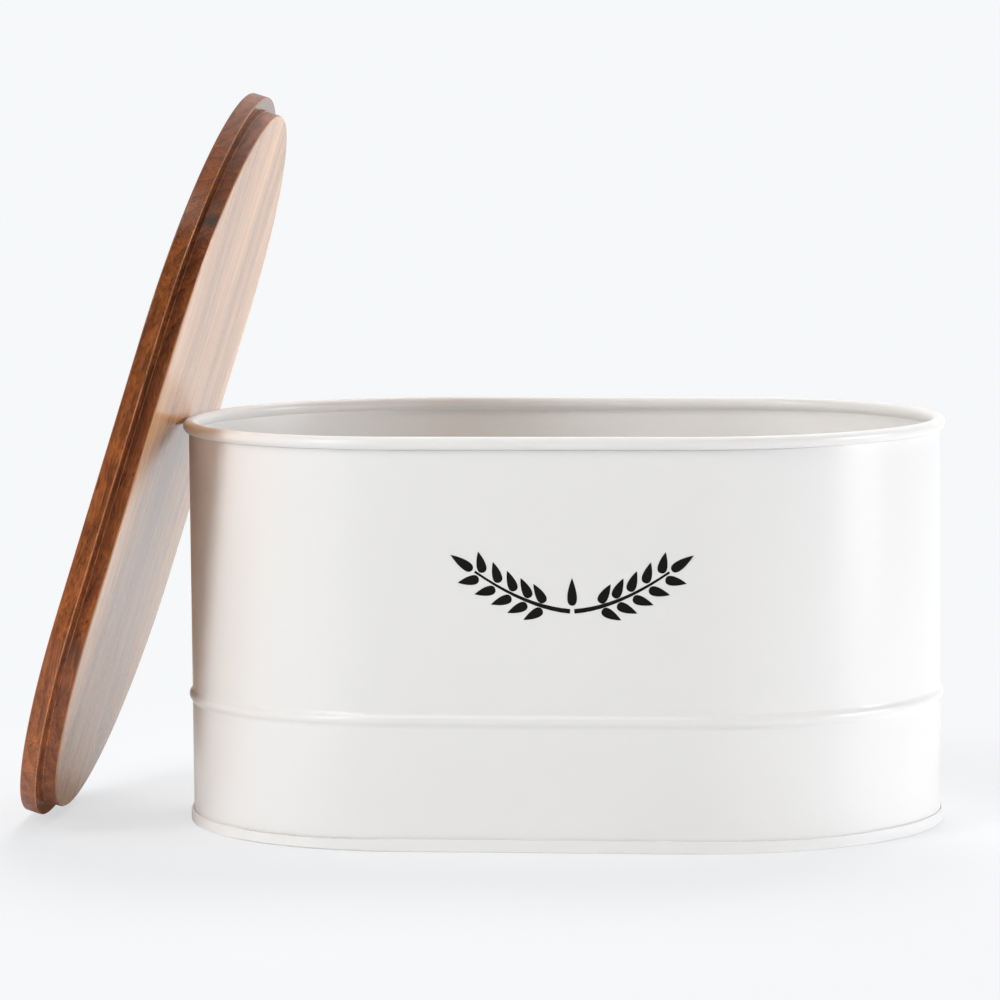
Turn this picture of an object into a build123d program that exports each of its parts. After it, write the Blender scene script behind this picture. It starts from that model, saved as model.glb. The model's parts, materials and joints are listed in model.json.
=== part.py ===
"""Oval bread bin: a sheet steel bin with a rolled rim, and a loose wooden lid leaning on its left end.

Millimetres. The origin is the centre of the bin's base, on the surface that it stands on.
X runs along the bin, the front faces -Y and +Z is up.
"""
import os
from math import acos, atan, atan2, cos, degrees, hypot, radians, sin, sqrt

from build123d import *

# Bin, measured over the rolled rim
bin_length = 340.0
bin_width = 212.0
bin_height = 180.0
sheet = 0.4

# Rolled rim: the wall's top edge, curled over a steel wire
rim_wire_diameter = 4.8
rim_wire_clearance = 0.05
rim_overhang = 2.5
rim_jog_radius = 0.6
rim_curl_gap = 0.4

# Swaged bead round the wall
bead_centre_height = 57.0
bead_height = 7.0
bead_depth = 1.4
bead_crest_radius = 2.6

# Base, joined to the wall by a double seam
seam_height = 5.5
seam_play = 0.02
seam_corner_radius = 0.5
seam_hook_gap = 0.5
floor_rise = 4.6
floor_corner_radius = 1.2

# Welded lap joint up the middle of the back
lap_width = 7.0
lap_margin = 1.0

# Lid: a board of edge-glued staves with a rebate round its underside
lid_thickness = 15.0
rebate_depth = 7.6
lid_setback = 0.5
plug_clearance = 1.0
top_edge_chamfer = 1.2
arris_chamfer = 0.5
stave_count = 5

# Dowels across the glue joints
dowel_diameter = 6.0
dowel_length = 30.0
dowel_clearance = 0.05
dowel_end_gap = 1.0
dowel_chamfer = 0.8
dowel_spacing = 110.0

# The lid leans on the rim at this angle to the floor, and stands this far off what it touches
lean_angle = 72.1
rest_clearance = 0.3

# Plan shape: both ends are half circles, joined by straight sides
half_straight = (bin_length - bin_width) / 2
rim_radius = rim_wire_diameter / 2 + rim_wire_clearance + sheet
curl_radius = rim_radius - sheet / 2
rim_line = bin_width / 2 - rim_radius
rim_line_height = bin_height - rim_radius
wall_line = bin_width / 2 - rim_overhang - sheet / 2


def sheet_run(start, end):
    """A flat stretch of sheet along its middle line."""
    run, rise = end[0] - start[0], end[1] - start[1]
    middle = Pos((start[0] + end[0]) / 2, (start[1] + end[1]) / 2)
    return middle * Rot(Z=degrees(atan2(rise, run))) * Rectangle(hypot(run, rise), sheet)


def sheet_bend(centre, radius, start_angle, turn):
    """A bent stretch of sheet: radius is that of its middle line."""
    outer = CenterArc(centre, radius + sheet / 2, start_angle, turn)
    inner = CenterArc(centre, radius - sheet / 2, start_angle, turn)
    return make_face([outer, inner, Line(outer @ 0, inner @ 0), Line(outer @ 1, inner @ 1)])


def join(pieces):
    """Fuses a list of faces or solids into one."""
    whole = pieces[0]
    for piece in pieces[1:]:
        whole += piece
    return whole


def oval_sweep(section):
    """Carries a section round the oval. Its x is the distance out from the end circles' centres."""
    front_section = Rot(Z=-90) * (Plane.XZ * section)
    front = extrude(Pos(-half_straight, 0, 0) * front_section, 2 * half_straight, dir=(1, 0, 0))
    right_end = Pos(half_straight, 0, 0) * revolve(front_section, Axis.Z, 180)
    half = front + right_end
    return half + Rot(Z=180) * half


def beaded_wall(low, high, offset=0.0):
    """The upright wall from low to high with its bead. An offset moves the sheet outwards."""
    half_height = bead_height / 2
    slope = 2 * atan(bead_depth / half_height)
    root_radius = half_height / sin(slope) - bead_crest_radius
    root_line = wall_line + root_radius
    line = wall_line + offset
    crest = (wall_line + bead_depth - bead_crest_radius, bead_centre_height)
    turn = degrees(slope)
    return [
        sheet_run((line, low), (line, bead_centre_height - half_height)),
        sheet_bend((root_line, bead_centre_height - half_height), root_radius - offset, 180 - turn, turn),
        sheet_bend(crest, bead_crest_radius + offset, -turn, 2 * turn),
        sheet_bend((root_line, bead_centre_height + half_height), root_radius - offset, 180, turn),
        sheet_run((line, bead_centre_height + half_height), (line, high)),
    ]


# Layers of the double seam, from the inside out: chuck wall, wall, base hook, wall hook, cover
seam_pitch = sheet + seam_play
chuck_line = wall_line - seam_pitch
base_hook_line = wall_line + seam_pitch
wall_hook_line = wall_line + 2 * seam_pitch
cover_line = wall_line + 3 * seam_pitch
wall_turn_height = 1.5 * sheet + seam_play + seam_pitch
cover_turn_height = seam_height - seam_pitch - sheet / 2


def make_wall():
    """The wall strip: hook at the foot, bead, jog into the curl of the rim, and the lap at the back."""
    jog_across = wall_line - rim_jog_radius - rim_line
    jog_down = sqrt((curl_radius + rim_jog_radius) ** 2 - jog_across**2)
    jog_height = rim_line_height - jog_down
    jog_turn = degrees(atan2(jog_down, -jog_across))
    free_edge = wall_line + sheet / 2 + rim_curl_gap - rim_line
    curl_end = -degrees(acos(free_edge / (curl_radius - sheet / 2)))
    curl_start = jog_turn + 180
    section = join(
        [
            sheet_run((wall_hook_line, cover_turn_height - seam_hook_gap), (wall_hook_line, wall_turn_height)),
            sheet_bend((base_hook_line, wall_turn_height), seam_pitch, 180, 180),
        ]
        + beaded_wall(wall_turn_height, jog_height)
        + [
            sheet_bend((wall_line - rim_jog_radius, jog_height), rim_jog_radius, 0, jog_turn),
            sheet_bend((rim_line, rim_line_height), curl_radius, curl_start, curl_end - curl_start),
        ]
    )
    lap_section = join(beaded_wall(seam_height + lap_margin, bin_height - 2 * rim_radius - lap_margin, sheet))
    lap = extrude(Pos(lap_width / 2, 0, 0) * Rot(Z=90) * (Plane.XZ * lap_section), lap_width, dir=(-1, 0, 0))
    return oval_sweep(section) + lap


def make_rim_wire():
    return oval_sweep(Pos(rim_line, rim_line_height) * Circle(rim_wire_diameter / 2))


def make_base():
    """The base pan: a raised floor, and an edge folded round the foot of the wall."""
    floor_line = floor_rise + sheet / 2
    corner = seam_corner_radius
    foot_line = sheet / 2
    section = join(
        [
            sheet_run((0, floor_line), (chuck_line - floor_corner_radius, floor_line)),
            sheet_bend(
                (chuck_line - floor_corner_radius, floor_line - floor_corner_radius), floor_corner_radius, 0, 90
            ),
            sheet_run((chuck_line, floor_line - floor_corner_radius), (chuck_line, foot_line + corner)),
            sheet_bend((chuck_line + corner, foot_line + corner), corner, 180, 90),
            sheet_run((chuck_line + corner, foot_line), (cover_line - corner, foot_line)),
            sheet_bend((cover_line - corner, foot_line + corner), corner, 270, 90),
            sheet_run((cover_line, foot_line + corner), (cover_line, cover_turn_height)),
            sheet_bend((wall_hook_line, cover_turn_height), seam_pitch, 0, 180),
            sheet_run((base_hook_line, cover_turn_height), (base_hook_line, wall_turn_height + seam_hook_gap)),
        ]
    )
    return oval_sweep(section)


# The lid lies flat here, with its centre at the origin
lid_edge = bin_width / 2 - lid_setback
plug_edge = bin_width / 2 - 2 * rim_radius - plug_clearance
lid_top = lid_thickness / 2
plug_face = -lid_thickness / 2
ledge_face = plug_face + rebate_depth
stave_width = 2 * lid_edge / stave_count
joint_places = [-lid_edge + number * stave_width for number in range(1, stave_count)]


def corner_nearest(section, across, up):
    return section.vertices().sort_by_distance((across, up, 0))[0]


def make_lid_board():
    """The whole lid: a flange that covers the rim, and a plug that drops inside it."""
    outline = [
        (0, plug_face),
        (plug_edge, plug_face),
        (plug_edge, ledge_face),
        (lid_edge, ledge_face),
        (lid_edge, lid_top),
        (0, lid_top),
    ]
    section = make_face(Polyline(outline, close=True))
    plug_arris = corner_nearest(section, plug_edge, plug_face)
    ledge_arris = corner_nearest(section, lid_edge, ledge_face)
    section = chamfer([plug_arris, ledge_arris], arris_chamfer)
    return oval_sweep(chamfer(corner_nearest(section, lid_edge, lid_top), top_edge_chamfer))


def dowel_row(place, radius, length):
    """Upright cylinders laid along Y, one across each glue joint, at one place along the lid."""
    return [Pos(place, joint, 0) * Rot(X=90) * Cylinder(radius, length) for joint in joint_places]


dowel_places = {"left": -dowel_spacing, "centre": 0.0, "right": dowel_spacing}


def make_staves():
    board = make_lid_board()
    for place in dowel_places.values():
        for bore in dowel_row(place, dowel_diameter / 2 + dowel_clearance, dowel_length + 2 * dowel_end_gap):
            board -= bore
    cuts = [-bin_width] + joint_places + [bin_width]
    slabs = [Pos(0, (low + high) / 2, 0) * Box(bin_length, high - low, 2 * lid_thickness)
             for low, high in zip(cuts, cuts[1:])]
    return [board & slab for slab in slabs]


def make_dowels(place):
    plain = dowel_row(place, dowel_diameter / 2, dowel_length)
    return Compound(children=[chamfer(dowel.edges().filter_by(GeomType.CIRCLE), dowel_chamfer) for dowel in plain])


# Where the lid's centre stands: its lower edge is on the floor and its plug rests on the rim
lean = radians(lean_angle)
half_lid = half_straight + lid_edge
stand_height = half_lid * sin(lean) - (ledge_face + arris_chamfer) * cos(lean)
rim_end = -(half_straight + rim_line)
contact = -plug_face + rim_radius + rest_clearance
stand_place = rim_end - (contact + (rim_line_height - stand_height) * cos(lean)) / sin(lean)
closed_height = bin_height + rest_clearance - ledge_face
lid_stand = Pos(stand_place, 0, stand_height) * Rot(Y=-lean_angle)

# The lid's centre swings over this point, level with its closed place, and comes down on the bin
swing_place = (stand_place**2 + (stand_height - closed_height) ** 2) / (2 * stand_place)
swing_angle = 180 + degrees(atan2(closed_height - stand_height, swing_place - stand_place))
turn_angle = lean_angle - swing_angle


def write(name, shape):
    export_step(shape, os.path.join("parts", name + ".step"))
    print(f"{name}: {len(shape.solids())} solids, {shape.volume / 1000:.2f} cm3")


os.makedirs("parts", exist_ok=True)
write("bin_wall", make_wall())
write("rim_wire", make_rim_wire())
write("base_pan", make_base())
for number, stave in enumerate(make_staves(), start=1):
    write(f"lid_stave_{number}", lid_stand * stave)
for side, place in dowel_places.items():
    write(f"lid_dowels_{side}", lid_stand * make_dowels(place))
print(f"lid centre at rest {stand_place:.4f}, {stand_height:.4f}, closed 0, {closed_height:.4f}")
print(f"swing centre {swing_place:.4f}, {closed_height:.4f}")
print(f"swing {swing_angle:.5f} degrees, turn {turn_angle:.5f}, ratio {turn_angle / swing_angle:.7f}")
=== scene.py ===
# %% [markdown]
# # Dressing a bread box
# The real object is a painted sheet steel bin, oval in plan, with a loose lid of brown wood that
# leans on its left end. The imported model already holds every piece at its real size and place,
# so it is loaded first, and nothing in it is moved. What is left for Blender is the finish:
# the paint, the wood, the rounded edges of the lid and the print on the front.

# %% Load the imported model
import json
from math import cos, hypot, pi, radians, sin

import bmesh
import bpy
from mathutils import Euler, Matrix, Vector


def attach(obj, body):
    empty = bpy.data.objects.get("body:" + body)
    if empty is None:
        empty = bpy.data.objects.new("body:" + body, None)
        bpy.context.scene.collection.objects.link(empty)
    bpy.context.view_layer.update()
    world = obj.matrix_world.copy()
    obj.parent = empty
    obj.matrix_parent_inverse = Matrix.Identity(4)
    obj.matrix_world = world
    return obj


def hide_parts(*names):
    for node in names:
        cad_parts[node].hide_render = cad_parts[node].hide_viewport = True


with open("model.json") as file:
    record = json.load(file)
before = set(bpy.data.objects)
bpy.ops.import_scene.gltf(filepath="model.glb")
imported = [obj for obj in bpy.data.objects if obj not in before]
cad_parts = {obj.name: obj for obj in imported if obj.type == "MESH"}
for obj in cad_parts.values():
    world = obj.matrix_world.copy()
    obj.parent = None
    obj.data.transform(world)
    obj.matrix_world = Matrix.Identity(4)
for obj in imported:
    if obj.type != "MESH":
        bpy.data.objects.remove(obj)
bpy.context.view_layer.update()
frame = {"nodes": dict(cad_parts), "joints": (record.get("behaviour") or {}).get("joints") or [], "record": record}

MM = 0.001
print("nodes:", ", ".join(sorted(frame["nodes"])))

# %% [markdown]
# ## The camera
# The place, the turn and the lens come from matching the rim, the wall, the base and the lid's
# edges in the photograph. The lens is long because the camera stood about 2.6 m away: a short
# lens from nearer by would open up the oval of the rim. A camera looks along its own -Z, so it is
# tipped up by a quarter turn less the dip, turned about Z, and rolled last.

# %% Place the camera
CAMERA_PLACE = Vector((275.6, -2562.2, 401.5)) * MM
CAMERA_TURN = radians(6.771)
CAMERA_DIP = radians(5.735)
CAMERA_ROLL = radians(-0.56)
CAMERA_LENS = 208.9

camera = bpy.data.objects.new("camera", bpy.data.cameras.new("camera"))
bpy.context.scene.collection.objects.link(camera)
camera.data.lens = CAMERA_LENS
camera.location = CAMERA_PLACE
aimed = Euler((pi / 2 - CAMERA_DIP, 0, CAMERA_TURN)).to_matrix()
camera.rotation_euler = (aimed @ Matrix.Rotation(CAMERA_ROLL, 3, "Z")).to_euler()
bpy.context.scene.camera = camera
bpy.context.scene.view_settings.view_transform = "Standard"
print("camera at", [round(c, 3) for c in camera.location])

# %% [markdown]
# ## Helpers for colours and nodes
# Colours are written as sRGB hex values, as a paint chart gives them, and Blender's shaders work
# on linear light, so one function turns the first into the second. One other adds a node, sets it
# and links it, with a colour ramp's stops as an argument of their own.
# A Map Range node turns one range of values into another. Its four numbers are kept together in
# this file as from, to, result at the first and result at the second, and span spreads them out.
# A Mix node has sockets for each kind of value, and they are picked by number: inputs 2 and 3
# take numbers, 4 and 5 vectors, 6 and 7 colours, and outputs 0, 1 and 2 give the results.

# %% Colour and node helpers
SOFT_ENDS = {"interpolation_type": "SMOOTHSTEP"}


def linear(code):
    """An sRGB hex colour as linear red, green, blue and alpha."""
    parts = [int(code[i:i + 2], 16) / 255 for i in (1, 3, 5)]
    return [p / 12.92 if p <= 0.04045 else ((p + 0.055) / 1.055) ** 2.4 for p in parts] + [1.0]


def span(numbers):
    """The four numbers of a range, by the names of their sockets."""
    return dict(zip(("From Min", "From Max", "To Min", "To Max"), numbers))


def add(tree, kind, values=None, links=None, stops=(), **settings):
    """Adds one node: values and links by input socket, a ramp's stops, and settings by name."""
    node = tree.nodes.new("ShaderNode" + kind)
    for name, value in settings.items():
        setattr(node, name, value)
    for socket, value in (values or {}).items():
        node.inputs[socket].default_value = value
    for socket, source in (links or {}).items():
        tree.links.new(source, node.inputs[socket])
    if stops:
        colours = node.color_ramp.elements
        colours[0].color, colours[-1].color = linear(stops[0][1]), linear(stops[-1][1])
        for position, code in stops[1:-1]:
            colours.new(position).color = linear(code)
    return node


print("white is", linear("#FFFFFF")[0], "and mid grey", round(linear("#808080")[0], 3))

# %% [markdown]
# ## The room
# The bin stood in a white studio: a bright backdrop behind it and a darker room in front. The
# world stands for both. It lights the object with only a little soft light all round. Camera rays
# see the plain backdrop colour instead. Glossy rays see white behind the bin and a dim room in
# front of it, which keeps the brown of the wood deep where it faces the camera.

# %% Build the room
BACKDROP, WHITE = linear("#F6F8FA"), linear("#FFFFFF")
SOFT_LIGHT = 0.02
ROOM_IN_FRONT = 0.12
ROOM_FRONT_TO_BACK = (-0.45, 0.35, ROOM_IN_FRONT, 1.0)

world = bpy.data.worlds.new("studio")
bpy.context.scene.world = world
world.use_nodes = True
sky = world.node_tree
sky.nodes.clear()
rays = add(sky, "LightPath").outputs
direction = add(sky, "TexCoord").outputs["Generated"]
backwards = add(sky, "SeparateXYZ", links={0: direction}).outputs["Y"]
depth = add(sky, "MapRange", span(ROOM_FRONT_TO_BACK), {"Value": backwards}, **SOFT_ENDS)
soft = add(sky, "Background", {"Color": WHITE, "Strength": SOFT_LIGHT})
in_gloss = add(sky, "Background", {"Color": WHITE}, {"Strength": depth.outputs["Result"]})
plain = add(sky, "Background", {"Color": BACKDROP, "Strength": 1.0})
glossy = add(sky, "Math", links={0: rays["Is Glossy Ray"], 1: rays["Is Transmission Ray"]},
             operation="MAXIMUM")
unseen = add(sky, "MixShader", links={
    "Fac": glossy.outputs[0], 1: soft.outputs[0], 2: in_gloss.outputs[0]})
seen = add(sky, "MixShader", links={
    "Fac": rays["Is Camera Ray"], 1: unseen.outputs[0], 2: plain.outputs[0]})
add(sky, "OutputWorld", links={"Surface": seen.outputs[0]})
print("the room lights with", SOFT_LIGHT, "and is", ROOM_IN_FRONT, "in front")

# %% [markdown]
# ## The lamps
# The main lamps stand in front on the left, and a white panel on the right. The main lamps' place
# shows in the shadow that the lid throws on the bin's left end, and their width in the soft edge
# of that shadow. The panel shows as the brightest stretch, down the right end. A weak card fills
# the shadow from the left, a high lamp in front reaches the wall inside the bin, and a high one
# behind brings out the rim and the pale face of the lid. The last is kept out of reflections:
# its mirror image would lie as a white patch on the lid's upper end. The tints are slight, and
# follow the paint's drift in the photograph from a warm grey in the middle to a clean white at
# both ends. Every lamp faces a point in the bin, two thirds of the way up the wall.

# %% Hang the lamps
LAMP_AIM = Vector((0, 0, 0.12))
LAMPS = (
    # name, azimuth from straight in front to the right, elevation, distance, width and height
    # in metres, power in watts, tint
    ("key_lamp", -41, 18, 2.4, 0.6, 0.6, 17.4, "#F8FCFF"),
    ("high_key", -42, 42, 2.4, 0.6, 0.6, 11.2, "#F8FCFF"),
    ("left_card", -80, 20, 1.5, 1.0, 1.0, 2.7, "#F1F8FF"),
    ("right_panel", 84, 8, 3.0, 1.2, 1.0, 56.5, "#FAFBFF"),
    ("high_front", -20, 60, 1.8, 0.6, 0.6, 7.0, "#FFF3EA"),
    ("high_back", 170, 55, 2.0, 1.2, 1.2, 32.5, "#FFFFFF"),
)


def area_lamp(name, azimuth, elevation, distance, width, height, power, tint):
    """A rectangular lamp that faces the bin."""
    lamp = bpy.data.objects.new(name, bpy.data.lights.new(name, "AREA"))
    bpy.context.scene.collection.objects.link(lamp)
    lamp.data.shape = "RECTANGLE"
    lamp.data.size, lamp.data.size_y = width, height
    lamp.data.energy = power
    lamp.data.color = linear(tint)[:3]
    a, e = radians(azimuth), radians(elevation)
    way = Vector((sin(a) * cos(e), -cos(a) * cos(e), sin(e)))
    lamp.location = LAMP_AIM + way * distance
    lamp.rotation_euler = (-way).to_track_quat("-Z", "Y").to_euler()
    print(name, "at", [round(c, 2) for c in lamp.location])
    return lamp


lamps = {row[0]: area_lamp(*row) for row in LAMPS}
lamps["high_back"].visible_glossy = False

# %% [markdown]
# ## The floor's material
# The floor is pale and plain. Near the object it is a real white card mixed with the backdrop's colour, so it
# takes a soft shadow. Farther off it fades into the backdrop, and no horizon line shows. Glossy rays get the real
# card alone, where camera rays see a share of it: the underside of the lid is seen at a low angle, so it mirrors
# the floor behind it, and gets darker towards its foot as the floor there does. For them the card is also painted
# a shade darker: painted shade, as a table close under an object lies in its shade. In reflections the far floor
# is dim in front of the bin, as the room is, or it would lie as a grey veil on the lid's edge.
# For light that bounces, the floor also glows a little, in a wider circle round the bin, as if
# more of the studio's light fell on it: this fills the shadows low on the bin from below.

# %% Make the floor's material
# The card in reflections is painted shade: darker than the card the camera sees.
CARD_SEEN, CARD_SHADED_IN_REFLECTIONS = "#EEEFF0", "#D3D4D5"
CARD_FADE = (0.2, 0.55, 1.0, 0.0)
CARD_SHARE = (0.0, 1.0, 0.35, 1.0)
FAR_FLOOR_FRONT_TO_BACK = (-0.6, 0.1, ROOM_IN_FRONT, 1.0)
TABLE_GLOW = (0.35, 0.9, 0.21, 0.0)


def floor_card(tree, rays, away):
    """The card as the eye and mirrors see it, and as bouncing light meets it."""
    tone = add(tree, "Mix", {6: linear(CARD_SEEN), 7: linear(CARD_SHADED_IN_REFLECTIONS)},
               {0: rays["Is Glossy Ray"]}, data_type="RGBA")
    card = add(tree, "BsdfDiffuse", links={"Color": tone.outputs[2]})
    glow = add(tree, "MapRange", span(TABLE_GLOW), {"Value": away}, **SOFT_ENDS)
    glowing = add(tree, "Emission", links={"Strength": glow.outputs["Result"]})
    lit = add(tree, "AddShader", links={0: card.outputs[0], 1: glowing.outputs[0]})
    return card.outputs[0], lit.outputs[0]


def far_floor(tree, rays, place):
    """The backdrop's colour, dim in front of the bin for glossy rays alone."""
    backwards = add(tree, "SeparateXYZ", links={0: place}).outputs["Y"]
    depth = add(tree, "MapRange", span(FAR_FLOOR_FRONT_TO_BACK), {"Value": backwards}, **SOFT_ENDS)
    level = add(tree, "Mix", {2: 1.0}, {0: rays["Is Glossy Ray"], 3: depth.outputs["Result"]})
    return add(tree, "Emission", {"Color": BACKDROP}, {"Strength": level.outputs[0]}).outputs[0]


def pale_floor():
    """White card that melts into the backdrop."""
    floor_material = bpy.data.materials.new("pale_floor_card")
    floor_material.use_nodes = True
    tree = floor_material.node_tree
    tree.nodes.clear()
    rays = add(tree, "LightPath").outputs
    place = add(tree, "TexCoord").outputs["Object"]
    away = add(tree, "VectorMath", links={0: place}, operation="LENGTH").outputs["Value"]
    card, lit = floor_card(tree, rays, away)
    near = add(tree, "MapRange", span(CARD_FADE), {"Value": away}, **SOFT_ENDS)
    share = add(tree, "MapRange", span(CARD_SHARE), {"Value": rays["Is Glossy Ray"]})
    real = add(tree, "Math", links={0: near.outputs["Result"], 1: share.outputs["Result"]},
               operation="MULTIPLY")
    shown = add(tree, "MixShader", links={
        "Fac": real.outputs[0], 1: far_floor(tree, rays, place), 2: card})
    direct = add(tree, "Math", links={0: rays["Is Camera Ray"], 1: rays["Is Glossy Ray"]},
                 operation="MAXIMUM")
    mixed = add(tree, "MixShader", links={"Fac": direct.outputs[0], 1: lit, 2: shown.outputs[0]})
    add(tree, "OutputMaterial", links={"Surface": mixed.outputs[0]})
    return floor_material


print("the card fades from", CARD_FADE[0], "to", CARD_FADE[1], "m")

# %% [markdown]
# ## The floor
# The floor is one large square, a hair below the base so that no two faces fall together. An
# operator works on all that is selected, so a small helper first deselects everything.

# %% Lay the floor
FLOOR_SIZE, FLOOR_DROP = 8.0, 0.2 * MM


def nothing_selected():
    """Leaves edit mode if need be and deselects every object."""
    if bpy.context.object and bpy.context.object.mode != "OBJECT":
        bpy.ops.object.mode_set(mode="OBJECT")
    bpy.ops.object.select_all(action="DESELECT")


nothing_selected()
bpy.ops.mesh.primitive_plane_add(size=FLOOR_SIZE, location=(0, 0, -FLOOR_DROP))
floor = bpy.context.object
floor.name = "floor"
floor.data.materials.append(pale_floor())
print("floor", [round(s, 2) for s in floor.dimensions])

# %% [markdown]
# ## White paint on steel
# The bin is sheet steel with a baked powder coat: a plastic skin about 0.1 mm thick, IOR 1.5,
# smooth enough to mirror the lid in a soft brown stripe at the left end. Powder melts into a very
# fine, shallow ripple called orange peel, about 1.5 mm from crest to crest, and lies a little
# uneven over a hand's width. Both are in the bump, and neither is deep.

# %% Make the paint
COAT_IOR = 1.5
PAINT_TINTS = "#EDECEA", "#EFEEEC"
PAINT_ROUGHNESS = (0.3, 0.7, 0.29, 0.35)
PEEL_SPACING, PEEL_HEIGHT = 1.5 * MM, 0.015 * MM
SWELL_SPACING, SWELL_HEIGHT = 60 * MM, 0.6 * MM


def new_material(name):
    """A material with an empty node tree, and that tree."""
    made = bpy.data.materials.new(name)
    made.use_nodes = True
    made.node_tree.nodes.clear()
    return made, made.node_tree


def powder_coat():
    """Baked white powder coat."""
    paint, tree = new_material("white_powder_coat")
    place = add(tree, "TexCoord").outputs["Object"]
    peel = add(tree, "TexNoise", {"Scale": 1 / PEEL_SPACING, "Detail": 2.0, "Roughness": 0.45},
               {"Vector": place}).outputs["Fac"]
    swell = add(tree, "TexNoise", {"Scale": 1 / SWELL_SPACING, "Detail": 1.0, "Roughness": 0.4},
                {"Vector": place}).outputs["Fac"]
    broad = add(tree, "Bump", {"Strength": 0.5, "Distance": SWELL_HEIGHT}, {"Height": swell})
    fine = add(tree, "Bump", {"Strength": 0.3, "Distance": PEEL_HEIGHT},
               {"Height": peel, "Normal": broad.outputs["Normal"]})
    tint = add(tree, "Mix", {6: linear(PAINT_TINTS[0]), 7: linear(PAINT_TINTS[1])}, {0: swell},
               data_type="RGBA")
    gloss = add(tree, "MapRange", span(PAINT_ROUGHNESS), {"Value": peel})
    shader = add(tree, "BsdfPrincipled", {"IOR": COAT_IOR}, {
        "Base Color": tint.outputs[2], "Roughness": gloss.outputs["Result"],
        "Normal": fine.outputs["Normal"]})
    add(tree, "OutputMaterial", links={"Surface": shader.outputs[0]})
    return paint


def paint_over(material, *names):
    """Gives the objects of CAD nodes one material."""
    for name in names:
        frame["nodes"][name].data.materials.clear()
        frame["nodes"][name].data.materials.append(material)


paint_over(powder_coat(), "bin_wall", "base_pan")
print("painted", bpy.data.materials["white_powder_coat"].name)

# %% [markdown]
# ## Where the lid is
# The lid's shape is simplest to draw lying flat round the origin, with X along it and its top up.
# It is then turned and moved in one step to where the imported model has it. The place is the joint
# in its middle, and the lean is what the two joints of its swing add up to. The sizes are the
# lid's own: the edge and the plug are measured out from the line along its middle.

# %% Work out the lid's place
LID_EDGE, LID_STRAIGHT = 105.5 * MM, 64.0 * MM
LID_TOP, LID_LEDGE, LID_FACE = 7.5 * MM, 0.1 * MM, -7.5 * MM
PLUG_EDGE = 99.3 * MM

joint = {row["name"]: row for row in frame["joints"]}
follow = frame["record"]["behaviour"]["couplings"][0]["ratio"]
LID_CENTRE = Vector(joint["lid_turn"]["pos_m"])
LID_LEAN = radians(joint["lid_swing"]["range_deg"][1] * (1 + follow))
LID_PLACE = Matrix.Translation(LID_CENTRE) @ Matrix.Rotation(-LID_LEAN, 4, "Y")
print("the lid leans at", round(LID_LEAN * 180 / pi, 2), "degrees")
print("its middle is at", [round(c, 4) for c in LID_CENTRE])

# %% [markdown]
# ## Brown lacquered hardwood
# The lid looks like walnut or acacia: an open-pored brown hardwood under a thin satin lacquer,
# IOR 1.5. A trunk's yearly rings are shells round its pith, so the pattern is a solid one. Each
# stave is cut from somewhere in a trunk, and every face, end grain too, then shows the right
# figure. Along the trunk everything is drawn out: fibres and pores are longer than they are wide,
# and the rings only wander slowly.
# What the eye gets: soft ring lines about 5 mm apart, dark pores, a fine grain of fibres, and
# patches, orange where the fibres rise to the surface and darker where they dip. The grain runs
# out of the lid's edge at an angle, so pores are long lines on the broad faces and short dashes
# on the edge. On the broad faces everything is drawn out further still, because there the staves
# lie along the trunk.
# The face that lies over the bread is painted a pale tan, lighter than the wood is: painted light, as if a strong
# light fell on that face, and long soft streaks of the brown show through it. The tone also drifts along the lid,
# and this drift is painted light and shade: the edge gets slowly paler towards the foot of the leaning lid, and
# the pale face darker. End grain soaks up the most lacquer, so it is rough and hardly shines.

# %% Name the wood's colours and sizes
LATE_WOOD, EARLY_WOOD, MID_WOOD, KNOT = "#6E3C21", "#8F5029", "#874A27", "#2E1A10"
# The pale tan is painted light, as if strong light fell on the face over the bread.
RISING_FIBRE, DIPPING_FIBRE, PAINTED_LIGHT_TAN = "#A65D2C", "#583019", "#CB9D73"
RING_COLOURS = ((0.0, LATE_WOOD), (0.1, EARLY_WOOD), (0.55, MID_WOOD), (1.0, LATE_WOOD))
RING_SPACING, RING_WANDER = 5.0 * MM, 9.0 * MM
RING_OF_WAVE = pi / 10        # metres from ring to ring in a Wave texture of scale 1
FACE_DEPTH, FACE_WANDER, FACE_STRETCH = 0.9 * MM, 1.0 * MM, 0.35
TIPPED_RUNOUT = 0.15          # how much of the grain's runout is up and down the board
END_GRAIN_ROUGHNESS = 0.40
PORE_DEPTH, PORE_STRENGTH = 0.03 * MM, 0.15

DRIFT = dict(length=120 * MM, width=35 * MM, detail=3.0)
RISING = dict(length=16 * MM, width=7 * MM, detail=3.0, roughness=0.6)
DIPPING = dict(length=24 * MM, width=6 * MM, detail=4.0, roughness=0.65)
STREAK = dict(length=80 * MM, width=24 * MM, detail=3.0, roughness=0.6)
FIBRE = dict(length=30 * MM, width=0.7 * MM, detail=3.0, roughness=0.6)
PORE = dict(length=22 * MM, width=0.6 * MM, detail=1.0)
print("ring lines every", RING_SPACING / MM, "mm")
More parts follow.
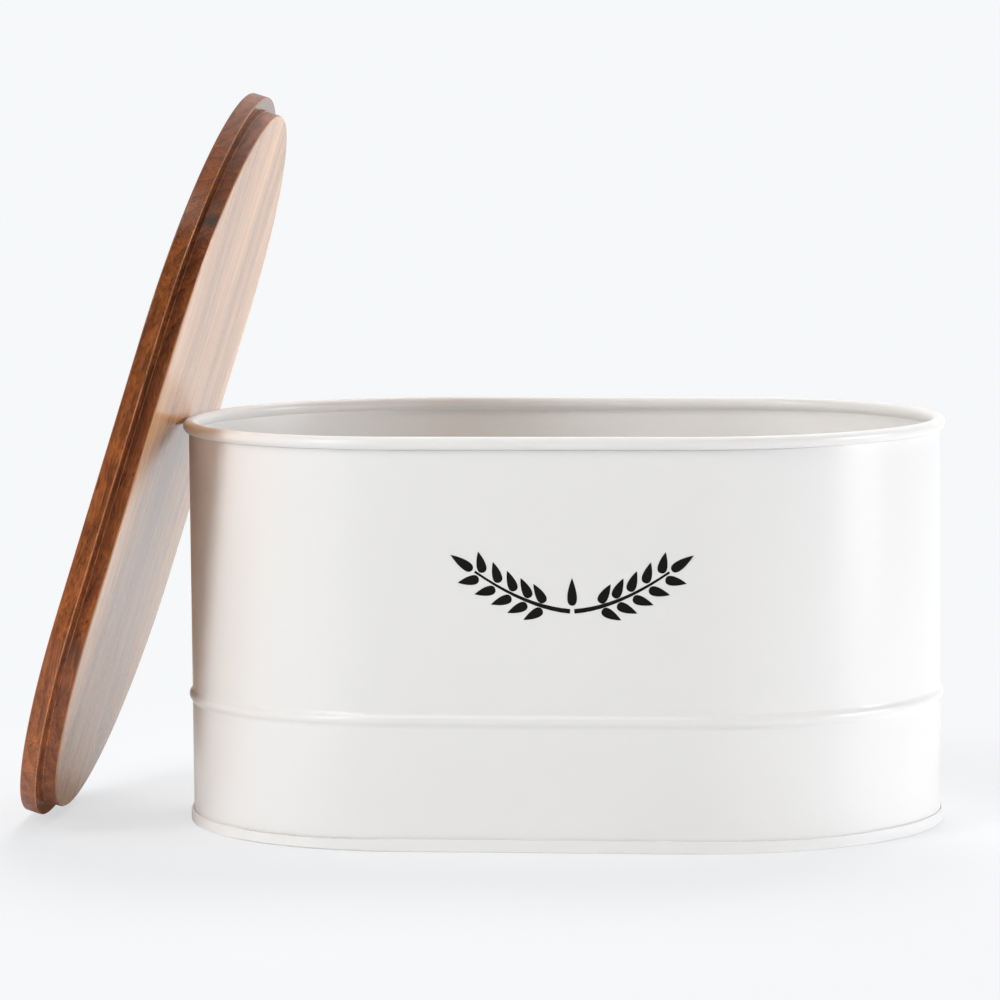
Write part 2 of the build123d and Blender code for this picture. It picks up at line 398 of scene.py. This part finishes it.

# %% [markdown]
# ### What the patterns do
# A noise has no unit, so each pattern needs a range that says what its values turn into: a share of another
# colour, a brightness or a roughness. The first two ranges start from heights in the board, which tell its broad
# faces from its edge. The painted light and shade of the edge and of the face start from places along the lid,
# with its foot at the low end.

# %% Name the wood's ranges
FACE_BY_HEIGHT = (LID_FACE, LID_FACE + FACE_DEPTH, 1.0, 0.0)
BROAD_BY_DEPTH = (LID_TOP - FACE_DEPTH, LID_TOP, 0.0, 1.0)
WANDER_BY_BROAD = (0.0, 1.0, 2 * RING_WANDER, 2 * FACE_WANDER)
RISING_SHARE = (0.42, 0.68, 0.0, 0.65)
DIPPING_SHARE = (0.50, 0.72, 0.0, 0.65)
KNOT_SHARE = (1.0 * MM, 6.0 * MM, 0.85, 0.0)
STREAK_SHARE = (0.38, 0.62, 0.58, 1.0)
FIBRE_TONE = (0.25, 0.75, 0.68, 1.32)
PORE_TONE = (0.60, 0.72, 1.0, 0.5)
# Painted light and shade along the lid: the edge paler towards the foot, the face darker.
EDGE_PAINTED_LIGHT_AND_SHADE = (-160 * MM, 170 * MM, 1.3, 0.72)
FACE_PAINTED_LIGHT_AND_SHADE = (-170 * MM, 20 * MM, 0.86, 1.22)
END_GRAIN_SHARE = (0.3, 0.9, 0.0, 1.0)
SATIN_ROUGHNESS = (0.3, 0.7, 0.14, 0.20)
print("fresh wood is", FACE_DEPTH / MM, "mm deep")

# %% [markdown]
# ### The grain
# The board's own directions come first, then the trunk's. The trunk lies along the board on the
# broad faces and leans out of it at the edge. A slow noise bends the trunk, and the rings,
# patches, fibres and pores are all laid out in the bent trunk, so they stay together round every
# curve. The noise lies at most half a unit from its middle, so it is scaled by twice the wander.

# %% Lay out the grain
def grain(tree, place, length, width, detail=2.0, roughness=0.5):
    """Noise in blotches so long along the grain and so wide across it."""
    drawn = add(tree, "Mapping", {"Scale": (1 / length, 1 / width, 1 / width)}, {"Vector": place})
    return add(tree, "TexNoise", {"Scale": 1.0, "Detail": detail, "Roughness": roughness},
               {"Vector": drawn.outputs["Vector"]}).outputs


def in_the_trunk(tree, board, broad, pith, along, runout):
    """Where a point of the board lies in its bent trunk."""
    cut_from = (along * MM, -pith[0] * MM, -pith[1] * MM)
    leans = (0, radians(runout * TIPPED_RUNOUT), radians(runout))
    straight = add(tree, "Mapping", {"Location": cut_from, "Scale": (FACE_STRETCH, 1, 1)},
                   {"Vector": board})
    leaning = add(tree, "Mapping", {"Location": cut_from, "Rotation": leans}, {"Vector": board})
    trunk = add(tree, "Mix", data_type="VECTOR", links={
        0: broad, 4: leaning.outputs["Vector"], 5: straight.outputs["Vector"]}).outputs[1]
    drift = grain(tree, trunk, **DRIFT)["Color"]
    centred = add(tree, "VectorMath", {1: (0.5, 0.5, 0.5)}, {0: drift}, operation="SUBTRACT")
    wander = add(tree, "MapRange", span(WANDER_BY_BROAD), {"Value": broad}, **SOFT_ENDS)
    pushed = add(tree, "VectorMath", operation="SCALE", links={
        0: centred.outputs[0], "Scale": wander.outputs["Result"]})
    return add(tree, "VectorMath", operation="ADD", links={
        0: trunk, 1: pushed.outputs[0]}).outputs[0]


print("the face's grain is drawn out", round(1 / FACE_STRETCH, 1), "times")

# %% [markdown]
# ### The colour of the wood
# The rings give the first brown. The patches and the knot are then mixed over it one by one, each where its own
# pattern is strong. The pale tan comes last: painted light. It fills the face over the bread but for the streaks,
# and on two of the eased edges a share of it is painted highlight.

# %% Mix the wood's colour
def brown_figure(tree, board, bent, knot):
    """The brown of the rings, the patches and the knot."""
    rings = add(tree, "TexWave", {"Scale": RING_OF_WAVE / RING_SPACING, "Distortion": 0.0},
                {"Vector": bent}, wave_type="RINGS", rings_direction="X", wave_profile="SAW")
    colour = add(tree, "ValToRGB", links={"Fac": rings.outputs["Fac"]},
                 stops=RING_COLOURS).outputs["Color"]
    heart = add(tree, "VectorMath", {1: Vector(knot) * MM}, {0: board}, operation="DISTANCE")
    patches = ((grain(tree, bent, **RISING)["Fac"], RISING_SHARE, RISING_FIBRE),
               (grain(tree, bent, **DIPPING)["Fac"], DIPPING_SHARE, DIPPING_FIBRE),
               (heart.outputs["Value"], KNOT_SHARE, KNOT))
    for pattern, share, code in patches:
        mixed_in = add(tree, "MapRange", span(share), {"Value": pattern}, **SOFT_ENDS)
        colour = add(tree, "Mix", {7: linear(code)}, {0: mixed_in.outputs["Result"], 6: colour},
                     data_type="RGBA").outputs[2]
    return colour


def with_painted_light(tree, colour, bent, face, edge_highlight):
    """Lays the pale tan of painted light, and the painted edge highlight, over the brown."""
    streak = add(tree, "MapRange", span(STREAK_SHARE),
                 {"Value": grain(tree, bent, **STREAK)["Fac"]}, **SOFT_ENDS)
    # The pale tan's share on the face: painted light, broken by the streaks.
    painted_light = add(tree, "Math", links={0: face, 1: streak.outputs["Result"]}, operation="MULTIPLY")
    paler = add(tree, "Math", {1: edge_highlight}, {0: painted_light.outputs[0]}, operation="MAXIMUM")
    return add(tree, "Mix", {7: linear(PAINTED_LIGHT_TAN)}, {0: paler.outputs[0], 6: colour},
               data_type="RGBA").outputs[2]


print("browns:", LATE_WOOD, EARLY_WOOD, MID_WOOD, "and fresh", PAINTED_LIGHT_TAN)

# %% [markdown]
# ### Light and shine
# Fibres, pores and the painted light and shade along the lid only make the colour lighter or darker, so they are
# one number that multiplies it. The shine is satin with a little of the fibres in it, and goes over to the
# roughness of end grain where the surface faces along the board.

# %% Work out the wood's light and shine
def brightness(tree, fibre, open_pore, lengthways, face, tone):
    """Fibres, pores and the painted light and shade along the lid in one number."""
    low, high, dark, light = FIBRE_TONE
    speckle = add(tree, "MapRange", span((low, high, dark * tone, light * tone)),
                  {"Value": fibre}, **SOFT_ENDS)
    edge_light_and_shade = add(tree, "MapRange", span(EDGE_PAINTED_LIGHT_AND_SHADE), {"Value": lengthways}, **SOFT_ENDS)
    face_light_and_shade = add(tree, "MapRange", span(FACE_PAINTED_LIGHT_AND_SHADE), {"Value": lengthways}, **SOFT_ENDS)
    # Painted light and shade along the lid, on the edge or on the face.
    drift = add(tree, "Mix", links={
        0: face, 2: edge_light_and_shade.outputs["Result"], 3: face_light_and_shade.outputs["Result"]})
    close_up = add(tree, "Math", links={0: speckle.outputs["Result"], 1: open_pore},
                   operation="MULTIPLY")
    return add(tree, "Math", links={0: close_up.outputs[0], 1: drift.outputs[0]},
               operation="MULTIPLY").outputs[0]


def satin(tree, fibre, normal):
    """The lacquer's roughness, higher on end grain."""
    facing = add(tree, "VectorMath", {1: LID_PLACE.to_3x3().col[0]}, {0: normal},
                 operation="DOT_PRODUCT")
    endwise = add(tree, "Math", links={0: facing.outputs["Value"]}, operation="ABSOLUTE")
    end_grain = add(tree, "MapRange", span(END_GRAIN_SHARE), {"Value": endwise.outputs[0]},
                    **SOFT_ENDS)
    sheen = add(tree, "MapRange", span(SATIN_ROUGHNESS), {"Value": fibre}, **SOFT_ENDS)
    return add(tree, "Mix", {3: END_GRAIN_ROUGHNESS}, {
        0: end_grain.outputs["Result"], 2: sheen.outputs["Result"]}).outputs[0]


print("satin roughness", SATIN_ROUGHNESS[2], "to", SATIN_ROUGHNESS[3])

# %% [markdown]
# ### One wood for each stave
# Each stave comes from another place in a trunk, so it has its own figure and tone. It has two woods, with the
# same figure. The second is a painted highlight for two of the eased edges: it is a little lighter and has a share
# of the pale tan of painted light all over. A stave without a knot has its knot far above the lid, out of reach.

# %% Make the woods
NO_KNOT = (0, 0, 90)
STAVE_WOODS = (
    dict(pith=(-118, -34), along=40, runout=9.0, tone=1.0, knot=(118, -83, -4.3)),
    dict(pith=(-38, 46), along=310, runout=-3.4, tone=0.90),
    dict(pith=(22, -60), along=-220, runout=3.8, tone=1.10),
    dict(pith=(50, 38), along=120, runout=-4.1, tone=0.93),
    dict(pith=(92, -48), along=-420, runout=8.2, tone=1.05),
)
# A painted highlight for edges: lighter by its tone, and with a share of the pale tan.
EDGE_HIGHLIGHT = dict(edge_highlight=0.25, tone=1.15)


def lacquered_hardwood(name, pith, along, runout, tone, knot=NO_KNOT, edge_highlight=0.0):
    """Wood of one stave. In millimetres, the pith lies at (across, up) from the lid's middle and
    the knot at a point of the lid. The grain runs out sideways by so many degrees."""
    wood, tree = new_material(name)
    surface = add(tree, "TexCoord").outputs
    board = add(tree, "Mapping", {"Location": LID_CENTRE, "Rotation": (0, -LID_LEAN, 0)},
                {"Vector": surface["Object"]}, vector_type="TEXTURE").outputs["Vector"]
    lengthways, _, height = add(tree, "SeparateXYZ", links={0: board}).outputs
    depth = add(tree, "Math", links={0: height}, operation="ABSOLUTE").outputs[0]
    face = add(tree, "MapRange", span(FACE_BY_HEIGHT), {"Value": height},
               **SOFT_ENDS).outputs["Result"]
    broad = add(tree, "MapRange", span(BROAD_BY_DEPTH), {"Value": depth},
                **SOFT_ENDS).outputs["Result"]
    bent = in_the_trunk(tree, board, broad, pith, along, runout)
    fibre = grain(tree, bent, **FIBRE)["Fac"]
    open_pore = add(tree, "MapRange", span(PORE_TONE), {"Value": grain(tree, bent, **PORE)["Fac"]},
                    **SOFT_ENDS).outputs["Result"]
    brown = brown_figure(tree, board, bent, knot)
    colour = add(tree, "VectorMath", operation="SCALE", links={
        0: with_painted_light(tree, brown, bent, face, edge_highlight),
        "Scale": brightness(tree, fibre, open_pore, lengthways, face, tone)})
    relief = add(tree, "Bump", {"Strength": PORE_STRENGTH, "Distance": PORE_DEPTH},
                 {"Height": open_pore})
    shader = add(tree, "BsdfPrincipled", {"IOR": COAT_IOR}, {
        "Base Color": colour.outputs[0], "Roughness": satin(tree, fibre, surface["Normal"]),
        "Normal": relief.outputs["Normal"]})
    add(tree, "OutputMaterial", links={"Surface": shader.outputs[0]})
    return wood


woods = [lacquered_hardwood(f"lacquered_hardwood_{n}", **facts)
         for n, facts in enumerate(STAVE_WOODS, 1)]
highlighted_edge_woods = [lacquered_hardwood(f"highlighted_edge_hardwood_{n}", **{**facts, **EDGE_HIGHLIGHT})
               for n, facts in enumerate(STAVE_WOODS, 1)]
print(len(woods), "woods, one for each stave, and as many paler ones for the eased edges")

# %% [markdown]
# ## The lid's board
# The lid is one board, glued up from five staves, cut to an oval and rebated all round by
# a router. An oval with straight sides starts from a circle: its halves move apart, and the two
# long edges between them become the sides. The thickness, the ledge and the plug then follow by
# extruding and insetting the face, as the router would cut them. The router took the rebate in
# two passes, and the step between them shows in the photograph as a second fine line.

# %% Helpers to pick parts of a mesh
def only(obj):
    """Selects one object and makes it active."""
    nothing_selected()
    obj.select_set(True)
    bpy.context.view_layer.objects.active = obj


def pick(obj, kind, test):
    """Selects the points, edges or faces of which every point passes the test, and counts them."""
    bpy.ops.object.mode_set(mode="EDIT")
    bpy.ops.mesh.select_mode(type=kind)
    bpy.ops.mesh.select_all(action="DESELECT")
    mesh = bmesh.from_edit_mesh(obj.data)
    parts = {"VERT": mesh.verts, "EDGE": mesh.edges, "FACE": mesh.faces}[kind]
    count = 0
    for part in parts:
        points = [part.co] if kind == "VERT" else [v.co for v in part.verts]
        if all(test(p) for p in points):
            part.select_set(True)
            count += 1
    mesh.select_flush_mode()
    bmesh.update_edit_mesh(obj.data)
    return count


def from_core(p):
    """How far a point lies from the line along the flat lid's middle: the same all round."""
    return hypot(max(abs(p.x) - LID_STRAIGHT, 0.0), p.y)


print("the lid's edge lies", round(from_core(Vector((0.0, LID_EDGE))) / MM, 1), "mm out")

# %% [markdown]
# The board is drawn top face first. Each extrusion goes down by one depth and each inset goes in
# by one step: down the edge, in along the ledge, down the first pass, in by the small step, and
# down the plug to the face over the bread.

# %% Draw the board flat
PASS_DEPTH, PASS_STEP = 1.6 * MM, 0.4 * MM
ROUND_STEPS = 160


def extrude_down(depth):
    """Draws the selected face down."""
    bpy.ops.mesh.extrude_region_move(TRANSFORM_OT_translate={"value": (0, 0, -depth)})


def flat_board():
    """The whole lid, lying flat round the origin with its top up."""
    nothing_selected()
    bpy.ops.mesh.primitive_circle_add(vertices=ROUND_STEPS, radius=LID_EDGE, fill_type="NGON",
                                      location=(0, 0, LID_TOP), rotation=(0, 0, pi / ROUND_STEPS))
    drawn = bpy.context.object
    bpy.ops.object.transform_apply(location=True, rotation=True, scale=True)
    for side in (1, -1):
        pick(drawn, "VERT", lambda p: p.x * side > 0 and from_core(p) > 0)
        bpy.ops.transform.translate(value=(side * LID_STRAIGHT, 0, 0))
        bpy.ops.mesh.select_all(action="DESELECT")
    bpy.ops.mesh.select_all(action="SELECT")
    extrude_down(LID_TOP - LID_LEDGE)
    bpy.ops.mesh.inset(thickness=LID_EDGE - PLUG_EDGE - PASS_STEP)
    extrude_down(PASS_DEPTH)
    bpy.ops.mesh.inset(thickness=PASS_STEP)
    extrude_down(LID_LEDGE - PASS_DEPTH - LID_FACE)
    return drawn


board = flat_board()
bpy.ops.mesh.select_all(action="SELECT")
bpy.ops.mesh.normals_make_consistent(inside=False)
bpy.ops.object.mode_set(mode="OBJECT")
print("board", [round(s / MM, 2) for s in board.dimensions], "mm")
print("it has", len(board.data.polygons), "faces")

# %% [markdown]
# ## Soft edges
# A sharp edge reflects nothing, and a real one is always eased a little with sandpaper. The thin bright lines down
# the lid, along the ledge's outer edge and the step, are painted highlight. The bevel operator rounds the picked
# edges with a few narrow faces, and gives those faces the material of slot 0, the wood, or of slot 1, the wood
# with the painted highlight.

# %% Round the edges
TOP_ROUND, ARRIS_ROUND, STEP_ROUND, PLUG_ROUND = 0.6 * MM, 0.5 * MM, 0.25 * MM, 0.9 * MM
HEIGHT_SLACK, RING_SLACK = 0.02 * MM, 0.1 * MM


def at_height(p, height):
    """Whether a point of the flat board lies at a height."""
    return abs(p.z - height) < HEIGHT_SLACK


def round_edges(test, radius, steps, slot):
    """Bevels the board's edges that pass the test."""
    found = pick(board, "EDGE", test)
    bpy.ops.mesh.bevel(offset=radius, segments=steps, affect="EDGES", profile=0.5, material=slot)
    bpy.ops.object.mode_set(mode="OBJECT")
    print(found, "edges rounded to", round(radius / MM, 2), "mm")


only(board)
board.data.materials.append(woods[0])
board.data.materials.append(highlighted_edge_woods[0])
round_edges(lambda p: at_height(p, LID_TOP), TOP_ROUND, 4, slot=0)
# The ledge's outer edge and the step get slot 1, the wood with the painted highlight.
round_edges(lambda p: at_height(p, LID_LEDGE) and from_core(p) > LID_EDGE - RING_SLACK,
            ARRIS_ROUND, 3, slot=1)
first_pass = LID_LEDGE - PASS_DEPTH
round_edges(lambda p: at_height(p, first_pass) and from_core(p) > PLUG_EDGE + RING_SLACK,
            STEP_ROUND, 2, slot=1)
round_edges(lambda p: at_height(p, LID_FACE), PLUG_ROUND, 3, slot=0)

# %% [markdown]
# ## Sawing the board into staves
# The staves meet edge to edge in four glue joints. Each is a copy of the board cut off on both
# sides with the bisect operator, which also closes the cut. The joints lie flush, as they do on
# a sanded board: what shows is the change of grain. Each stave stands in for the CAD node of the
# same number, and rides on the lid.

# %% Cut the staves
STAVE_WIDTH = 2 * LID_EDGE / len(STAVE_WOODS)
SMOOTH_ANGLE = radians(38)


def cut_off(y, keep_above):
    """Cuts the active object along a plane across Y and closes the cut."""
    bpy.ops.object.mode_set(mode="EDIT")
    bpy.ops.mesh.select_all(action="SELECT")
    bpy.ops.mesh.bisect(plane_co=(0, y, 0), plane_no=(0, 1, 0), use_fill=True,
                        clear_inner=keep_above, clear_outer=not keep_above)
    bpy.ops.object.mode_set(mode="OBJECT")


def stave(number):
    """One stave of the lid, in its place."""
    piece = board.copy()
    piece.data = board.data.copy()
    piece.name = piece.data.name = f"stave_{number}_dressed"
    bpy.context.scene.collection.objects.link(piece)
    only(piece)
    low = -LID_EDGE + (number - 1) * STAVE_WIDTH
    if number > 1:
        cut_off(low, keep_above=True)
    if number < len(STAVE_WOODS):
        cut_off(low + STAVE_WIDTH, keep_above=False)
    bpy.ops.object.shade_smooth_by_angle(angle=SMOOTH_ANGLE)
    bpy.ops.object.modifier_add(type="WEIGHTED_NORMAL")
    piece.modifiers[0].keep_sharp = True
    bpy.ops.object.modifier_apply(modifier=piece.modifiers[0].name)
    piece.matrix_world = LID_PLACE
    bpy.ops.object.transform_apply(location=True, rotation=True, scale=True)
    piece.data.materials[0], piece.data.materials[1] = woods[number - 1], highlighted_edge_woods[number - 1]
    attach(piece, "lid")
    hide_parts(f"lid_stave_{number}")
    return piece


staves = [stave(number) for number in range(1, len(STAVE_WOODS) + 1)]
bpy.data.objects.remove(board)
print("staves:", [s.name for s in staves])

# %% [markdown]
# ## The pieces inside
# The rim is curled over a zinc-plated steel wire, and beech dowels hold the glue joints. They
# show only when the object is taken apart, and each still gets its own finish. Plating blooms in
# crystals of a millimetre or two, some duller than others. Raw beech is matt, with short dark
# flecks along the grain, and the dowels lie across the lid, so the grain is turned to Y.

# %% Finish the wire and the dowels
BLOOM_SIZE = 2 * MM
ZINC_GREYS, ZINC_ROUGHNESS = ((0.0, "#B4B8BC"), (1.0, "#D0D3D6")), (0.3, 0.7, 0.3, 0.42)
FLECK = dict(length=3 * MM, width=0.5 * MM, detail=3.0)
BEECH_TANS, BEECH_ROUGHNESS = ((0.0, "#B98A5E"), (0.5, "#D2A87C"), (1.0, "#E0BC94")), 0.65


def zinc_plate():
    """Bright zinc plating on drawn wire."""
    zinc, tree = new_material("zinc_plated_wire")
    place = add(tree, "TexCoord").outputs["Object"]
    bloom = add(tree, "TexNoise", {"Scale": 1 / BLOOM_SIZE, "Detail": 2.0},
                {"Vector": place}).outputs["Fac"]
    grey = add(tree, "ValToRGB", links={"Fac": bloom}, stops=ZINC_GREYS)
    dull = add(tree, "MapRange", span(ZINC_ROUGHNESS), {"Value": bloom}, **SOFT_ENDS)
    shader = add(tree, "BsdfPrincipled", {"Metallic": 1.0}, {
        "Base Color": grey.outputs["Color"], "Roughness": dull.outputs["Result"]})
    add(tree, "OutputMaterial", links={"Surface": shader.outputs[0]})
    return zinc


def turned_beech():
    """Raw beech with the grain along the dowel."""
    beech, tree = new_material("turned_beech")
    place = add(tree, "TexCoord").outputs["Object"]
    turned = add(tree, "Mapping", {"Rotation": (0, 0, pi / 2)}, {"Vector": place})
    fleck = grain(tree, turned.outputs["Vector"], **FLECK)["Fac"]
    tan = add(tree, "ValToRGB", links={"Fac": fleck}, stops=BEECH_TANS)
    shader = add(tree, "BsdfPrincipled", {"Roughness": BEECH_ROUGHNESS},
                 {"Base Color": tan.outputs["Color"]})
    add(tree, "OutputMaterial", links={"Surface": shader.outputs[0]})
    return beech


paint_over(zinc_plate(), "rim_wire")
paint_over(turned_beech(), "lid_dowels_left", "lid_dowels_centre", "lid_dowels_right")
print("zinc and beech in place")

# %% [markdown]
# ## The print on the front
# The front carries a black screen print about 105 mm wide. Here it is a pair of wheat ears,
# a plain sign for bread. One ear is a stem with kernels in pairs. The other is its mirror image.
# Both are flat curves with a little thickness. A kernel is a closed curve of two points, round at
# its foot and pointed at its tip, and the stem is a narrow band along a bent line. Their sizes
# are in millimetres, from the middle of the print.

# %% Shape a kernel and a stem
STEM = (Vector((0.9, -13.4)), Vector((19.5, -12.0)), Vector((42.0, 3.6)))
STEM_WIDTH = 2.0
KERNEL_LENGTH, KERNEL_WIDTH = 9.4, 5.2
BELLY, TAPER, POINT = 0.66, 0.6, 0.42        # shares of a kernel's width, belly and length


def kernel(foot, way, length=KERNEL_LENGTH):
    """One kernel: blunt at its foot, pointed at its tip."""
    across = Vector((-way.y, way.x)) * KERNEL_WIDTH * BELLY
    tip = foot + way * length
    waist = tip - way * length * POINT
    return [(foot, foot - across, foot + across),
            (tip, waist + across * TAPER, waist - across * TAPER)]


def stem_at(t):
    """Place and direction at a share of the stem."""
    a, b, c = STEM
    return a.lerp(b, t).lerp(b.lerp(c, t), t), (b.lerp(c, t) - a.lerp(b, t)).normalized()


def stem_outline():
    """The stem as a narrow closed band, half as wide at its end."""
    start, first = stem_at(0)
    end, last = stem_at(1)
    half_first = Vector((-first.y, first.x)) * STEM_WIDTH / 2
    half_last = Vector((-last.y, last.x)) * STEM_WIDTH / 4
    out, back = (STEM[1] - start) * 2 / 3, (STEM[1] - end) * 2 / 3
    return [(start + half_first, start + half_first, start + half_first + out),
            (end + half_last, end + half_last + back, end + half_last),
            (end - half_last, end - half_last, end - half_last + back),
            (start - half_first, start - half_first + out, start - half_first)]


print("a kernel is", KERNEL_LENGTH, "mm long on a stem", STEM_WIDTH, "mm wide")

# %% [markdown]
# The kernels never touch each other, nor do the stems, because lines that cross in one filled
# curve leave a hole. The stems are a second, slightly thinner curve, so no two faces fall
# together. One more kernel ends each ear, and one stands alone in the middle.

# %% Draw the wheat ears
INK, THIN_INK = 0.10 * MM, 0.07 * MM
EAR_START, EAR_END, KERNEL_ROWS = 0.30, 0.94, 5
KERNEL_SPREAD, KERNEL_GAP = radians(44), 1.6
TIP_KERNEL, TIP_GAP = 11.5, 1.2
MIDDLE_KERNEL, MIDDLE_FOOT = 12.0, Vector((0.0, -11.0))


def flat_curve(name, thickness):
    """An empty filled curve in its own plane."""
    nothing_selected()
    bpy.ops.curve.primitive_bezier_curve_add()
    drawn = bpy.context.object
    drawn.name = drawn.data.name = name
    drawn.data.splines.clear()
    drawn.data.dimensions, drawn.data.fill_mode = "2D", "BOTH"
    drawn.data.resolution_u, drawn.data.extrude = 10, thickness
    return drawn


def closed_line(drawn, *points):
    """Adds a closed line. Each point is its place and its two handles, in millimetres."""
    line = drawn.data.splines.new("BEZIER")
    line.bezier_points.add(len(points) - 1)
    line.use_cyclic_u = True
    for point, places in zip(line.bezier_points, points):
        point.handle_left_type = point.handle_right_type = "FREE"
        point.co, point.handle_left, point.handle_right = [(p * MM).to_3d() for p in places]


def mirrored(points, side):
    """The points of a closed line, on the right for side 1 and on the left for side -1."""
    flipped = [[Vector((side * p.x, p.y)) for p in places] for places in points]
    return flipped if side > 0 else [[a, c, b] for a, b, c in reversed(flipped)]


kernels = flat_curve("print_kernels", INK)
stems = flat_curve("print_stems", THIN_INK)
for side in (1, -1):
    closed_line(stems, *mirrored(stem_outline(), side))
    for row in range(KERNEL_ROWS):
        place, way = stem_at(EAR_START + (EAR_END - EAR_START) * row / (KERNEL_ROWS - 1))
        for spread in (KERNEL_SPREAD, -KERNEL_SPREAD):
            turned = Matrix.Rotation(spread, 2) @ way
            sideways = Vector((-way.y, way.x)) * (KERNEL_GAP if spread > 0 else -KERNEL_GAP)
            closed_line(kernels, *mirrored(kernel(place + sideways, turned), side))
    place, way = stem_at(1)
    closed_line(kernels, *mirrored(kernel(place + way * TIP_GAP, way, TIP_KERNEL), side))
closed_line(kernels, *kernel(MIDDLE_FOOT, Vector((0.0, 1.0)), MIDDLE_KERNEL))
print(len(kernels.data.splines), "kernels on", len(stems.data.splines), "stems")

# %% [markdown]
# Now the curves become meshes and are joined into one piece. It is stood up against the front, so
# that its middle plane lies in the face of the paint and half of the ink's thickness stands
# proud. Screen ink dries as a thin skin full of pigment, so it is deep black and nearly matt,
# with a faint mottle where the mesh of the screen left more or less of it.

# %% Print them on the front
PRINT_CENTRE = Vector((14.4, -103.5, 118.3)) * MM
MOTTLE_SIZE, DOUBLES = 1.2 * MM, 0.001 * MM
INK_BLACKS, INK_ROUGHNESS = ((0.0, "#0B0A09"), (1.0, "#12100F")), (0.3, 0.7, 0.5, 0.62)
INK_SPECULAR = 0.2


def screen_ink():
    """Matt black screen-printing ink."""
    ink, tree = new_material("black_screen_ink")
    place = add(tree, "TexCoord").outputs["Object"]
    mottle = add(tree, "TexNoise", {"Scale": 1 / MOTTLE_SIZE, "Detail": 2.0},
                 {"Vector": place}).outputs["Fac"]
    black = add(tree, "ValToRGB", links={"Fac": mottle}, stops=INK_BLACKS)
    dull = add(tree, "MapRange", span(INK_ROUGHNESS), {"Value": mottle}, **SOFT_ENDS)
    shader = add(tree, "BsdfPrincipled", {"Specular IOR Level": INK_SPECULAR}, {
        "Base Color": black.outputs["Color"], "Roughness": dull.outputs["Result"]})
    add(tree, "OutputMaterial", links={"Surface": shader.outputs[0]})
    return ink


nothing_selected()
kernels.select_set(True)
stems.select_set(True)
bpy.context.view_layer.objects.active = kernels
bpy.ops.object.convert(target="MESH")
bpy.ops.object.join()
wheat = bpy.context.object
wheat.name = wheat.data.name = "front_print"
wheat.matrix_world = Matrix.Translation(PRINT_CENTRE) @ Matrix.Rotation(pi / 2, 4, "X")
bpy.ops.object.transform_apply(location=True, rotation=True, scale=True)
wheat.data.materials.clear()
wheat.data.materials.append(screen_ink())
pick(wheat, "VERT", lambda p: True)
bpy.ops.mesh.remove_doubles(threshold=DOUBLES)
bpy.ops.mesh.normals_make_consistent(inside=False)
bpy.ops.object.mode_set(mode="OBJECT")
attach(wheat, "bin")
print("print", [round(s / MM, 2) for s in wheat.dimensions], "mm")
print("it has", len(wheat.data.polygons), "faces")
